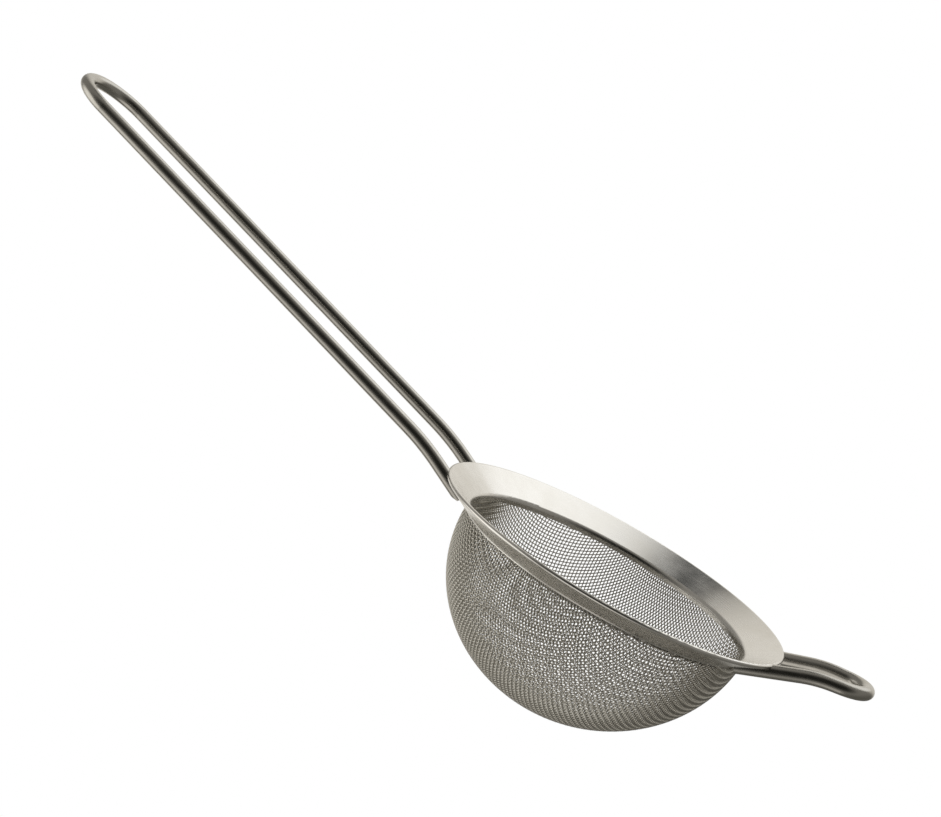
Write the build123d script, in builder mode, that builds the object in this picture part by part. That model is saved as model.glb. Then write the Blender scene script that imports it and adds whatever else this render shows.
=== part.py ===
"""Tea strainer: a woven steel bowl gripped in a conical double rim, with a long
hairpin handle and a short rest loop of round wire welded under the rim.

Frame, in millimetres: the origin is the centre of the rim, level with the top of
its lip. +X points to the rest loop, the handle runs towards -X and +Z is up.
"""
import os
from math import atan2, cos, hypot, pi, radians, sin, tan

from build123d import *

# ---- driving dimensions -------------------------------------------------
rim_r = 40.0          # outermost radius of the lip
flange_slope = 30.0   # fall of the conical flange towards the bowl, degrees
sheet_t = 0.3         # pressed sheet of both rim rings
cloth_t = 0.35        # woven cloth, flattened where it is gripped
neck_r = 32.5         # inside radius of the neck at the foot of the flange
neck_bend = 1.2       # bend between flange and neck, on the side that shows
neck_foot = -5.4      # where the neck of the upper ring ends and the bowl begins
clamp_foot = -4.7     # where the short neck of the clamp ring ends
curl_w = 0.4          # how far the lip's curl reaches back under the flange
cloth_edge = 0.6      # where the gripped cloth ends, from the lip

bowl_bottom = -36.4   # lowest point of the cloth

wire_d = 3.0          # wire of the handle and of the rest loop
handle_gap = 19.6     # handle legs, centre to centre
rest_gap = 11.7       # rest loop legs at their half-round turn
rest_spread = 18.3    # rest loop legs at their welded ends
bend_r = 55.0         # gentle bend of the handle where it leaves the rim
rest_bend_r = 28.0    # the same bend on the rest loop
end_cut = -4.75       # the handle's ends are cut level here and taper off

# Side view of one leg, as (x, z): welded end, bend, start of the half-round turn
handle_line = ((-33.4, -4.2), (-46.0, 1.75), (-144.9, 28.4))
rest_line = ((32.4, -4.25), (47.7, 2.0), (52.7, 2.75))

os.makedirs("parts", exist_ok=True)

# ---- the rim's section ---------------------------------------------------
# Each layer of the rim lies at a depth below the top face of the flange. A place
# on a layer is given by its distance inwards from the lip and by that depth.
slope = radians(flange_slope)
clamp_depth = sheet_t + cloth_t
lip_t = clamp_depth + sheet_t
lip_centre = (rim_r - lip_t / 2, -lip_t / 2)


def on_flange(inwards, depth):
    """A place on the flange's section, as (radius, height)."""
    lift = lip_t / 2 - depth
    radius = lip_centre[0] - lift * sin(slope) - inwards * cos(slope)
    height = lip_centre[1] + lift * cos(slope) - inwards * sin(slope)
    return (radius, height)


def neck_corner(depth):
    """Where a layer of the flange would meet the same layer of the neck."""
    start = on_flange(0, depth)
    return on_flange((start[0] - neck_r - depth) / cos(slope), depth)


def layer(outer_points, top, bottom, foot):
    """Section of one rim layer: down the flange, round the bend and down the neck.

    outer_points close the layer at its outer end, from its underside to its top.
    """
    top_corner = neck_corner(top)
    bottom_corner = neck_corner(bottom)
    with BuildSketch() as section:
        with BuildLine():
            Polyline(
                *outer_points,
                top_corner,
                (neck_r + top, foot),
                (neck_r + bottom, foot),
                bottom_corner,
                close=True,
            )
        make_face()
        for corner, depth in ((top_corner, top), (bottom_corner, bottom)):
            at_corner = section.vertices().sort_by_distance(Vector(*corner, 0))[0]
            fillet(at_corner, neck_bend - depth)
    return section.sketch


# ---- upper rim ring --------------------------------------------------------
# A pressed cone with a short neck inside. Its outer edge is curled under itself,
# which makes the rounded lip, and ends flush against the edge of the clamp ring.
with BuildPart() as rim_flange:
    with BuildSketch(Plane.XZ):
        add(layer((on_flange(0, sheet_t), on_flange(0, 0)), 0, sheet_t, neck_foot))
        with BuildLine():
            lip_out = ThreePointArc(
                on_flange(0, 0),
                on_flange(-lip_t / 2, lip_t / 2),
                on_flange(0, lip_t),
            )
            Polyline(
                lip_out @ 1,
                on_flange(curl_w, lip_t),
                on_flange(curl_w, lip_t - sheet_t),
                on_flange(0, lip_t - sheet_t),
            )
            ThreePointArc(
                on_flange(0, lip_t - sheet_t),
                on_flange(sheet_t - lip_t / 2, lip_t / 2),
                on_flange(0, sheet_t),
            )
            Line(on_flange(0, sheet_t), lip_out @ 0)
        make_face()
    revolve(axis=Axis.Z)
rim_flange.part.label = "rim_flange"
export_step(rim_flange.part, "parts/rim_flange.step")

# ---- clamp ring --------------------------------------------------------------
# The lower ring holds the cloth against the upper one. With the lip's curl it makes
# one smooth underside.
with BuildPart() as rim_clamp_ring:
    with BuildSketch(Plane.XZ):
        outer_edge = (
            on_flange(curl_w, clamp_depth + sheet_t),
            on_flange(curl_w, clamp_depth),
        )
        add(layer(outer_edge, clamp_depth, clamp_depth + sheet_t, clamp_foot))
    revolve(axis=Axis.Z)
rim_clamp_ring.part.label = "rim_clamp_ring"
export_step(rim_clamp_ring.part, "parts/rim_clamp_ring.step")


# ---- woven bowl ----------------------------------------------------------------
# The cloth is one thin closed shell with the outer shape of the drawn weave: a half
# ellipsoid below the neck. Its edge flares out between the two rings.
def bowl_profile(inset):
    """Half profile of the bowl's face that lies this far inside its outer face."""
    neck = neck_r + clamp_depth - inset
    depth = neck_foot - bowl_bottom - inset
    Line(neck_corner(clamp_depth - inset), (neck, neck_foot))
    EllipticalCenterArc((0, neck_foot), neck, depth, start_angle=270, arc_size=90)


def cloth_section():
    """Section of the cloth: gripped edge, neck and bowl down to the axis."""
    with BuildSketch() as section:
        with BuildLine():
            bowl_profile(0)
            bowl_profile(cloth_t)
            Line((0, bowl_bottom), (0, bowl_bottom + cloth_t))
            Polyline(
                neck_corner(clamp_depth),
                on_flange(cloth_edge, clamp_depth),
                on_flange(cloth_edge, sheet_t),
                neck_corner(sheet_t),
            )
        make_face()
        for depth in (sheet_t, clamp_depth):
            corner = Vector(*neck_corner(depth), 0)
            at_corner = section.vertices().sort_by_distance(corner)[0]
            fillet(at_corner, neck_bend - depth)
    return section.sketch


with BuildPart() as mesh_bowl:
    with BuildSketch(Plane.XZ):
        add(cloth_section())
    revolve(axis=Axis.Z)
mesh_bowl.part.label = "mesh_bowl"
export_step(mesh_bowl.part, "parts/mesh_bowl.step")


# ---- wires -------------------------------------------------------------------------
# The handle and the rest loop are hairpins of the same wire. The welded ends lie
# against the underside of the rim and are flattened there to its slope.
def hairpin(line, gap, spread, bend):
    """Centre line of a hairpin: two bent legs joined by a rounded turn.

    The legs are gap apart at the turn and spread apart at their welded ends.
    """
    weld_end, knee, turn = line
    run = hypot(turn[0] - knee[0], turn[1] - knee[1])
    opening = (spread - gap) / 2 / abs(turn[0] - weld_end[0])
    lean = atan2(opening * abs(turn[0] - knee[0]), run)
    reach = gap / 2 * tan((pi / 2 - lean) / 2) / run
    tip_x = turn[0] + reach * (turn[0] - knee[0])
    tip_z = turn[1] + reach * (turn[1] - knee[1])
    with BuildLine() as path:
        for side in (1, -1):
            leg = []
            for x, z in (weld_end, knee, turn):
                leg.append((x, side * (gap / 2 + opening * abs(turn[0] - x)), z))
            FilletPolyline(*leg, radius=bend)
        ThreePointArc(
            (turn[0], gap / 2, turn[1]),
            (tip_x, 0, tip_z),
            (turn[0], -gap / 2, turn[1]),
        )
    return path.wire()


def rim_space_section():
    """Section of the space that the rim and the bowl take, seen from below."""
    with BuildSketch() as section:
        with BuildLine():
            Polyline(
                (0, 2 * wire_d),
                (on_flange(0, 0)[0], 2 * wire_d),
                on_flange(0, 0),
                on_flange(0, lip_t),
                neck_corner(lip_t),
                (neck_r + lip_t, bowl_bottom),
                (0, bowl_bottom),
                close=True,
            )
        make_face()
        corner = Vector(*neck_corner(lip_t), 0)
        fillet(section.vertices().sort_by_distance(corner)[0], neck_bend - lip_t)
        with Locations(lip_centre):
            Circle(lip_t / 2)
    return section.sketch


# The space is taken away from the wires, so that their ends lie face to face with
# the rim and clear of the bowl.
with BuildSketch(Plane.XZ) as rim_space:
    add(rim_space_section())

with BuildPart() as handle_wire:
    handle_path = hairpin(handle_line, handle_gap, handle_gap, bend_r)
    with BuildSketch(Plane(origin=handle_path @ 0, z_dir=handle_path % 0)):
        Circle(wire_d / 2)
    sweep(path=handle_path)
    revolve(rim_space.sketch, axis=Axis.Z, mode=Mode.SUBTRACT)
    with BuildSketch(Plane.XY.offset(end_cut)):
        with Locations((-neck_r, 0)):
            Rectangle(4 * wire_d, 2 * handle_gap)
    extrude(amount=-wire_d, mode=Mode.SUBTRACT)
handle_wire.part.label = "handle_wire"
export_step(handle_wire.part, "parts/handle_wire.step")

with BuildPart() as rest_loop:
    rest_path = hairpin(rest_line, rest_gap, rest_spread, rest_bend_r)
    with BuildSketch(Plane(origin=rest_path @ 0, z_dir=rest_path % 0)):
        Circle(wire_d / 2)
    sweep(path=rest_path)
    revolve(rim_space.sketch, axis=Axis.Z, mode=Mode.SUBTRACT)
rest_loop.part.label = "rest_loop"
export_step(rest_loop.part, "parts/rest_loop.step")
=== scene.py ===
"""Looks of the tea strainer: the woven bowl wire by wire, brushed and drawn steel,
a white studio and the camera. Lengths are in metres, in the part's own frame: the
origin is the centre of the rim, level with the top of its lip. +X points to the rest
loop and +Z is up.
"""

from math import cos, pi, radians, sin, tan

import bpy
import numpy as np
from mathutils import Matrix, Vector


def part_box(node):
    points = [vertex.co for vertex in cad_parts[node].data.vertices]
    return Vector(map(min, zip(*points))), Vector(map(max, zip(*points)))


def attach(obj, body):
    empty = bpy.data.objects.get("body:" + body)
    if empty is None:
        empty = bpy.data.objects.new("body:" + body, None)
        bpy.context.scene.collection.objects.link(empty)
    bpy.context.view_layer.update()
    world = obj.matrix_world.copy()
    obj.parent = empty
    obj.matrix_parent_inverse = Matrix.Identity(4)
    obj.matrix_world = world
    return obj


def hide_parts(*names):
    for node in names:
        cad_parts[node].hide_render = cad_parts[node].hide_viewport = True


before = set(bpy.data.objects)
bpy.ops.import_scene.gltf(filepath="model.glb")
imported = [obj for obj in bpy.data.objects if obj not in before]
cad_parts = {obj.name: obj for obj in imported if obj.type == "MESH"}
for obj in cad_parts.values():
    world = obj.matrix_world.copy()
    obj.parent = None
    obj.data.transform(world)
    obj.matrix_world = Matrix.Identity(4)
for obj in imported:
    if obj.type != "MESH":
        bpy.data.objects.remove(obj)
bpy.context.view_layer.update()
MM = 0.001
WHITE = (1, 1, 1, 1)

# ---- sizes that the weave shares with the CAD bowl --------------------------
rim_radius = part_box("rim_flange")[1].x
bowl_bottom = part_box("mesh_bowl")[0].z
flange_slope = radians(30.0)
sheet = 0.3 * MM            # pressed sheet of the rim rings
cloth = 0.35 * MM           # room for the cloth between the rings
neck_radius = 32.5 * MM     # inside of the upper ring's neck
bowl_top = -5.4 * MM        # height where the neck ends and the bowl begins
grip_end = -2.9 * MM        # the wires end below this height, between the rings

# ---- the weave --------------------------------------------------------------
# The pole is the bowl's lowest point, where one wire of each direction crosses.
thread = 0.26 * MM          # diameter of one wire
pitch = 0.80 * MM           # from crossing to crossing along a wire
weave_turn = radians(35.0)  # azimuth of one of the two wires through the pole
lean = -1.5 * MM            # shift of the pole along X
shortest_run = 3            # a wire with fewer crossings is left out
tube_sides = 5
steps = 4                   # rings of a tube from one crossing to the next

# ---- how the weave is worked out ----------------------------------------------
samples = 1000              # points on a stretch of cloth whose length is measured
solver_rounds = 12
longest_step = 0.5 * pitch  # of a crossing, in one round of the solver
tolerance = 0.02 * pitch    # a crossing that misses its pitch by more is left out
tiny = 1e-9                 # keeps divisors and matrices away from zero


# ---- shape of the cloth ----------------------------------------------------------
middle = sheet + cloth / 2  # from a face of the rim to the cloth's middle
neck = neck_radius + middle
bowl_depth = bowl_top - bowl_bottom - cloth / 2

# The cloth's middle comes down the flange from the centre of the rounded lip and turns
# into the neck at this height.
corner = -middle - (rim_radius - middle - neck) * tan(flange_slope)


def unit(v):
    """Vectors of length one."""
    return v / np.linalg.norm(v, axis=-1, keepdims=True)


def wall_radius(height):
    """Radius of the cloth's middle above the bowl: neck, rounded bend and flange."""
    rise = height - corner
    flare = (rise + np.hypot(rise, cloth)) / 2 / tan(flange_slope)
    return neck + flare


def off_surface(p):
    """Signed distance of points from the cloth's middle, nearly, and its gradient."""
    radius = np.maximum(np.hypot(p[..., 0], p[..., 1]), tiny)
    low = np.stack([p[..., 0], p[..., 1], p[..., 2] - bowl_top], -1)
    axes = np.array([neck, neck, bowl_depth])
    level = np.linalg.norm(low / axes, axis=-1)
    grad_low = low / axes**2 / level[..., None] * neck
    small = 1e-6
    height = p[..., 2]
    wall = radius - wall_radius(height)
    rise = (wall_radius(height + small) - wall_radius(height - small)) / (2 * small)
    grad_wall = np.stack([p[..., 0] / radius, p[..., 1] / radius, -rise], -1)
    below = height < bowl_top
    value = np.where(below, (level - 1) * neck, wall)
    return value, np.where(below[..., None], grad_low, grad_wall)


def meridian(azimuth, count):
    """Points one pitch apart along the cloth, from the pole up one side."""
    turn = np.linspace(0, pi / 2, 2 * samples)
    heights = np.linspace(bowl_top, grip_end + 3 * pitch, samples)[1:]
    radius = np.concatenate([neck * np.sin(turn), wall_radius(heights)])
    height = np.concatenate([bowl_top - bowl_depth * np.cos(turn), heights])
    run = np.concatenate([[0], np.cumsum(np.hypot(np.diff(radius), np.diff(height)))])
    at = pitch * np.arange(count)
    r = np.interp(at, run, radius, right=np.nan)
    z = np.interp(at, run, height)
    return np.stack([r * cos(azimuth), r * sin(azimuth), z], -1)


def crossing_near(p, a, b):
    """Moves points onto the cloth, one pitch from both of their neighbours."""
    for _ in range(solver_rounds):
        value, gradient = off_surface(p)
        rows = np.stack([2 * (p - a), 2 * (p - b), gradient], -2)
        miss_a = ((p - a) ** 2).sum(-1) - pitch**2
        miss_b = ((p - b) ** 2).sum(-1) - pitch**2
        miss = np.stack([miss_a, miss_b, value], -1)[..., None]
        rows += np.eye(3) * tiny
        step = np.linalg.solve(rows, miss)[..., 0]
        size = np.linalg.norm(step, axis=-1, keepdims=True)
        p = p - step * np.minimum(1, longest_step / np.maximum(size, tiny))
    return p


def quarter(first, second):
    """A net of equal threads on the cloth, between two threads from the pole.

    Each new crossing is one pitch from the two crossings before it.
    """
    count = len(first)
    net = np.full((count, count, 3), np.nan)
    net[:, 0] = first
    net[0, :] = second
    for total in range(2, 2 * count - 1):
        i = np.arange(max(1, total - count + 1), min(total, count))
        j = total - i
        a, b, c = net[i - 1, j], net[i, j - 1], net[i - 1, j - 1]
        ok = np.isfinite(a + b + c).all(-1)
        i, j, a, b, c = i[ok], j[ok], a[ok], b[ok], c[ok]
        p = crossing_near(a + b - c, a, b)
        off = np.abs(np.linalg.norm(p - a, axis=-1) - pitch)
        good = (off < tolerance) & (p[:, 2] < grip_end + 2 * pitch)
        net[i[good], j[good]] = p[good]
    return net


def fishnet():
    """Every crossing of the cloth in one square array, with the pole in its middle."""
    length = pi / 2 * neck + 8 * MM     # from the pole to the grip, roughly
    count = int(1.25 * length / pitch)  # with a quarter to spare
    rays = [meridian(weave_turn + k * pi / 2, count) for k in range(4)]
    mid = count - 1
    whole = np.full((mid + count, mid + count, 3), np.nan)
    quarters = (
        whole[mid:, mid:],
        whole[mid::-1, mid:],
        whole[mid::-1, mid::-1],
        whole[mid:, mid::-1],
    )
    for k, place in enumerate(quarters):
        net = quarter(rays[k], rays[(k + 1) % 4])
        place[:] = net if k % 2 == 0 else net.transpose(1, 0, 2)
    whole[whole[..., 2] > grip_end] = np.nan
    return whole


# ---- the wires of the cloth --------------------------------------------------------
def runs_of(line):
    """Unbroken runs of crossings along one thread, as (start, end) pairs."""
    ok = np.isfinite(line[:, 0]).astype(int)
    edges = np.flatnonzero(np.diff(np.concatenate([[0], ok, [0]])))
    return [(s, e) for s, e in zip(edges[::2], edges[1::2]) if e - s >= shortest_run]


def thread_path(crossings, normals, first_side):
    """Middle line of one wire that goes over and under from crossing to crossing."""
    count = len(crossings)
    at = np.linspace(0, count - 1, (count - 1) * steps + 1)
    index = np.arange(count)
    line = np.stack([np.interp(at, index, crossings[:, k]) for k in range(3)], -1)
    out = unit(np.stack([np.interp(at, index, normals[:, k]) for k in range(3)], -1))
    wave = np.cos(pi * at) * first_side * thread / 2
    return line + out * wave[:, None], out


def tube(line, out):
    """Vertices and faces of a round wire along a line, with flat ends."""
    along = unit(np.gradient(line, axis=0))
    out = unit(out - along * (out * along).sum(-1, keepdims=True))
    side = np.cross(along, out)
    turn = np.arange(tube_sides) * 2 * pi / tube_sides
    ring = np.cos(turn)[:, None] * out[:, None] + np.sin(turn)[:, None] * side[:, None]
    vertices = (line[:, None] + thread / 2 * ring).reshape(-1, 3)
    rings = np.arange(len(line) - 1)[:, None] * tube_sides
    here = rings + np.arange(tube_sides)
    beside = rings + (np.arange(tube_sides) + 1) % tube_sides
    quads = np.stack([here, beside, beside + tube_sides, here + tube_sides], -1)
    last = len(vertices) - tube_sides
    ends = [np.arange(tube_sides)[::-1], last + np.arange(tube_sides)]
    return vertices, quads.reshape(-1, 4), ends


def mesh_object(name, vertices, quads, ends):
    """An object from smooth quads and the flat faces that close the tubes' ends."""
    corners = np.concatenate([quads.ravel(), np.concatenate(ends)])
    sizes = np.concatenate([np.full(len(quads), 4), np.full(len(ends), tube_sides)])
    starts = np.concatenate([[0], np.cumsum(sizes)[:-1]])
    mesh = bpy.data.meshes.new(name)
    mesh.vertices.add(len(vertices))
    mesh.vertices.foreach_set("co", vertices.astype(np.float32).ravel())
    mesh.loops.add(len(corners))
    mesh.loops.foreach_set("vertex_index", corners.astype(np.int32))
    mesh.polygons.add(len(sizes))
    mesh.polygons.foreach_set("loop_start", starts.astype(np.int32))
    mesh.polygons.foreach_set("use_smooth", sizes == 4)
    mesh.update(calc_edges=True)
    mesh.validate()
    made = bpy.data.objects.new(name, mesh)
    bpy.context.scene.collection.objects.link(made)
    return made


def wires_object(name, wires):
    """One mesh object from many wires."""
    vertices, quads, ends, base = [], [], [], 0
    for line, out in wires:
        v, q, e = tube(line, out)
        vertices.append(v)
        quads.append(q + base)
        ends += [x + base for x in e]
        base += len(v)
    return mesh_object(name, np.concatenate(vertices), np.concatenate(quads), ends)


def lean_over(points):
    """The bowl below its top is pushed along X, most at the pole."""
    down = np.clip((bowl_top - points[..., 2]) / bowl_depth, 0, 1)
    moved = points.copy()
    moved[..., 0] += lean * down
    return moved


def weave_bowl(groups):
    """Both sets of wires, each cut into a few groups that are named pieces."""
    net = fishnet()
    flat = net.reshape(-1, 3)
    ok = np.isfinite(flat[:, 0])
    normals = np.full_like(flat, np.nan)
    normals[ok] = unit(off_surface(flat[ok])[1])
    normals = normals.reshape(net.shape)
    net = lean_over(net)
    pieces = []
    for family, side in (("warp", 1), ("weft", -1)):
        if family == "weft":
            net, normals = net.transpose(1, 0, 2), normals.transpose(1, 0, 2)
        wires = []
        for row, (crossings, outwards) in enumerate(zip(net, normals)):
            for start, end in runs_of(crossings):
                first_side = side * (-1) ** (row + start)
                part = slice(start, end)
                wires.append(thread_path(crossings[part], outwards[part], first_side))
        lengths = np.cumsum([len(line) for line, _ in wires])
        group = np.minimum((lengths / lengths[-1] * groups).astype(int), groups - 1)
        for g in range(groups):
            chosen = [w for w, its_group in zip(wires, group) if its_group == g]
            pieces.append(wires_object(f"cloth_{family}_{g + 1}", chosen))
    return pieces


# ---- shader nodes ----------------------------------------------------------------
def emptied(block):
    """The node tree of a material or a world, without its first nodes."""
    block.use_nodes = True
    block.node_tree.nodes.clear()
    return block.node_tree


def node(tree, kind, values=(), **settings):
    """Adds a shader node, with values as (input, number, colour or socket) pairs."""
    made = tree.nodes.new("ShaderNode" + kind)
    for name, value in settings.items():
        setattr(made, name, value)
    for name, value in values:
        if isinstance(value, bpy.types.NodeSocket):
            tree.links.new(value, made.inputs[name])
        else:
            made.inputs[name].default_value = value
    return made


def maths(tree, operation, *values):
    """What a Math node makes of numbers."""
    values = tuple(enumerate(values))
    return node(tree, "Math", values, operation=operation).outputs[0]


def vector_maths(tree, operation, *values, result="Vector"):
    """What a VectorMath node makes of vectors."""
    values = tuple(enumerate(values))
    return node(tree, "VectorMath", values, operation=operation).outputs[result]


def noise(tree, place, scale, detail):
    """A soft random pattern, with its values mostly from 0.3 to 0.7."""
    values = (("Vector", place), ("Scale", scale), ("Detail", detail))
    return node(tree, "TexNoise", values).outputs["Fac"]


def spread(tree, value, low, high, start=0.3, end=0.7, **settings):
    """Maps start to low and end to high, which a value doesn't go past."""
    values = (
        ("Value", value),
        ("From Min", start),
        ("From Max", end),
        ("To Min", low),
        ("To Max", high),
    )
    return node(tree, "MapRange", values, **settings).outputs["Result"]


def mixed(tree, amount, first, second):
    """The first colour where the amount is 0 and the second where it is 1."""
    values = (("Factor", amount), ("A", first), ("B", second))
    return node(tree, "Mix", values, data_type="RGBA").outputs["Result"]


# ---- steel -------------------------------------------------------------------------
# Each finish makes its nodes in a tree and returns the shader's inputs.
def grooves(tree, pattern, strength):
    """Surface normals with faint grooves that follow a pattern."""
    depth = 0.02 * MM
    values = (("Height", pattern), ("Strength", strength), ("Distance", depth))
    return node(tree, "Bump", values).outputs[0]


def pressed_sheet(tree):
    """Pressed sheet with fine marks that run round the rim."""
    dark = (0.68, 0.66, 0.62, 1)
    light = (0.78, 0.765, 0.735, 1)
    tightness = 5000.0      # of the marks, along a radius
    place = node(tree, "TexCoord").outputs["Object"]
    flat = vector_maths(tree, "MULTIPLY", place, (1, 1, 0))
    around = vector_maths(tree, "NORMALIZE", flat)
    radius = vector_maths(tree, "LENGTH", flat, result="Value")
    across = maths(tree, "MULTIPLY", radius, tightness)
    outwards = node(tree, "CombineXYZ", (("Z", across),)).outputs[0]
    ring_place = vector_maths(tree, "ADD", around, outwards)
    lines = noise(tree, ring_place, scale=3.0, detail=2.0)
    cloud = noise(tree, place, scale=160.0, detail=4.0)
    cloudy = spread(tree, cloud, low=0.2, high=0.28)
    lined = spread(tree, lines, low=-0.02, high=0.03)
    return (
        ("Base Color", mixed(tree, spread(tree, cloud, 0.0, 1.0), dark, light)),
        ("Roughness", maths(tree, "ADD", cloudy, lined)),
        ("Normal", grooves(tree, lines, strength=0.03)),
    )


def drawn_wire(tree):
    """Drawn wire: bright, with faint lines along X, which is nearly its length."""
    dark = (0.46, 0.445, 0.41, 1)
    light = (0.55, 0.53, 0.49, 1)
    along, across = 60.0, 2600.0
    place = node(tree, "TexCoord").outputs["Object"]
    stretched = vector_maths(tree, "MULTIPLY", place, (along, across, across))
    lines = noise(tree, stretched, scale=1.0, detail=3.0)
    cloud = noise(tree, place, scale=90.0, detail=3.0)
    return (
        ("Base Color", mixed(tree, spread(tree, cloud, 0.0, 1.0), dark, light)),
        ("Roughness", spread(tree, lines, low=0.2, high=0.3)),
        ("Normal", grooves(tree, lines, strength=0.06)),
    )


def cloth_wire(tree):
    """Fine wire of the cloth, too thin for marks of its own to show."""
    return (("Base Color", (0.60, 0.58, 0.53, 1)), ("Roughness", 0.1))


def steel(name, finish):
    """A metal material with one of the finishes."""
    made = bpy.data.materials.new(name)
    tree = emptied(made)
    shader = node(tree, "BsdfPrincipled", (("Metallic", 1.0), *finish(tree)))
    node(tree, "OutputMaterial", (("Surface", shader.outputs["BSDF"]),))
    return made


# ---- studio --------------------------------------------------------------------
def lobe(tree, direction, towards, inner, outer):
    """1 within inner degrees of a direction, falling smoothly to 0 at outer."""
    aim = Vector(towards).normalized()
    near = vector_maths(tree, "DOT_PRODUCT", direction, aim, result="Value")
    edges = (cos(radians(outer)), cos(radians(inner)))
    return spread(tree, near, 0.0, 1.0, *edges, interpolation_type="SMOOTHSTEP")


def studio_world():
    """A white backdrop, with soft boxes and dark flags that only the steel sees."""
    world = bpy.data.worlds.new("studio")
    bpy.context.scene.world = world
    tree = emptied(world)
    direction = node(tree, "TexCoord").outputs["Generated"]
    colour = (0.27, 0.26, 0.24, 1)
    for towards, inner, outer, tone in (
        # direction, inner and outer angle in degrees, colour
        ((0.3, 0.5, -0.8), 40, 90, (0.15, 0.145, 0.13, 1)),
        ((-0.88, -0.25, -0.4), 14, 42, (1.35, 1.32, 1.25, 1)),
        ((-0.45, 0.78, -0.43), 12, 36, (0.85, 0.82, 0.76, 1)),
        ((0.0, 0.92, 0.38), 26, 50, (0.82, 0.79, 0.73, 1)),
        ((0.12, -0.92, 0.36), 14, 64, (0.015, 0.015, 0.013, 1)),
        ((-0.05, -0.5, -0.86), 10, 34, (0.9, 0.87, 0.82, 1)),
        ((0.18, 0.56, 0.81), 16, 31, (1.3, 1.3, 1.28, 1)),
        ((-0.29, 0.41, 0.86), 5, 11, (0.02, 0.025, 0.03, 1)),
    ):
        colour = mixed(tree, lobe(tree, direction, towards, inner, outer), colour, tone)
    seen = node(tree, "LightPath").outputs["Is Camera Ray"]
    shown = mixed(tree, seen, colour, WHITE)
    background = node(tree, "Background", (("Color", shown), ("Strength", 1.0)))
    node(tree, "OutputWorld", (("Surface", background.outputs[0]),))


def floor():
    """A wide white floor far below the strainer, which the steel doesn't see."""
    half = 30.0
    depth = -0.6
    sides = ((-half, -half), (half, -half), (half, half), (-half, half))
    mesh = bpy.data.meshes.new("floor")
    mesh.from_pydata([(x, y, depth) for x, y in sides], [], [(0, 1, 2, 3)])
    made = bpy.data.objects.new("floor", mesh)
    bpy.context.scene.collection.objects.link(made)
    paint = bpy.data.materials.new("floor_white")
    tree = emptied(paint)
    glow = node(tree, "Emission", (("Color", WHITE), ("Strength", 1.0)))
    node(tree, "OutputMaterial", (("Surface", glow.outputs[0]),))
    mesh.materials.append(paint)
    made.visible_glossy = False
    made.visible_diffuse = False
    made.visible_shadow = False


def camera():
    """A camera across the handle, from a little above, turned about its own axis."""
    aim = Vector((-43.18, 0.0, 11.40)) * MM
    azimuth, elevation = radians(12.568), radians(10.373)
    distance = 448.59 * MM
    roll = radians(-28.811)
    forward = Vector(
        (-sin(azimuth) * cos(elevation), cos(azimuth) * cos(elevation), -sin(elevation))
    )
    level_up = (Vector((0, 0, 1)) - forward * forward.z).normalized()
    level_right = forward.cross(level_up)
    up = level_up * cos(roll) + level_right * sin(roll)
    right = forward.cross(up)
    data = bpy.data.cameras.new("camera")
    data.lens = 80.72
    data.sensor_width = 36.0
    data.clip_end = 100.0
    made = bpy.data.objects.new("camera", data)
    bpy.context.scene.collection.objects.link(made)
    rotation = Matrix((right, up, -forward)).transposed()
    made.matrix_world = Matrix.Translation(aim - forward * distance) @ rotation.to_4x4()
    bpy.context.scene.camera = made


# ---- the scene -------------------------------------------------------------------
camera()
floor()
studio_world()
bpy.context.scene.view_settings.view_transform = "Standard"

rim = steel("rim_steel", pressed_sheet)
wire = steel("wire_steel", drawn_wire)
for name, material in (
    ("rim_flange", rim),
    ("rim_clamp_ring", rim),
    ("handle_wire", wire),
    ("rest_loop", wire),
):
    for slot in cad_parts[name].material_slots:
        slot.material = material

bowl_steel = steel("mesh_steel", cloth_wire)
for piece in weave_bowl(groups=4):
    piece.data.materials.append(bowl_steel)
    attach(piece, "root")
    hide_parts("mesh_bowl")
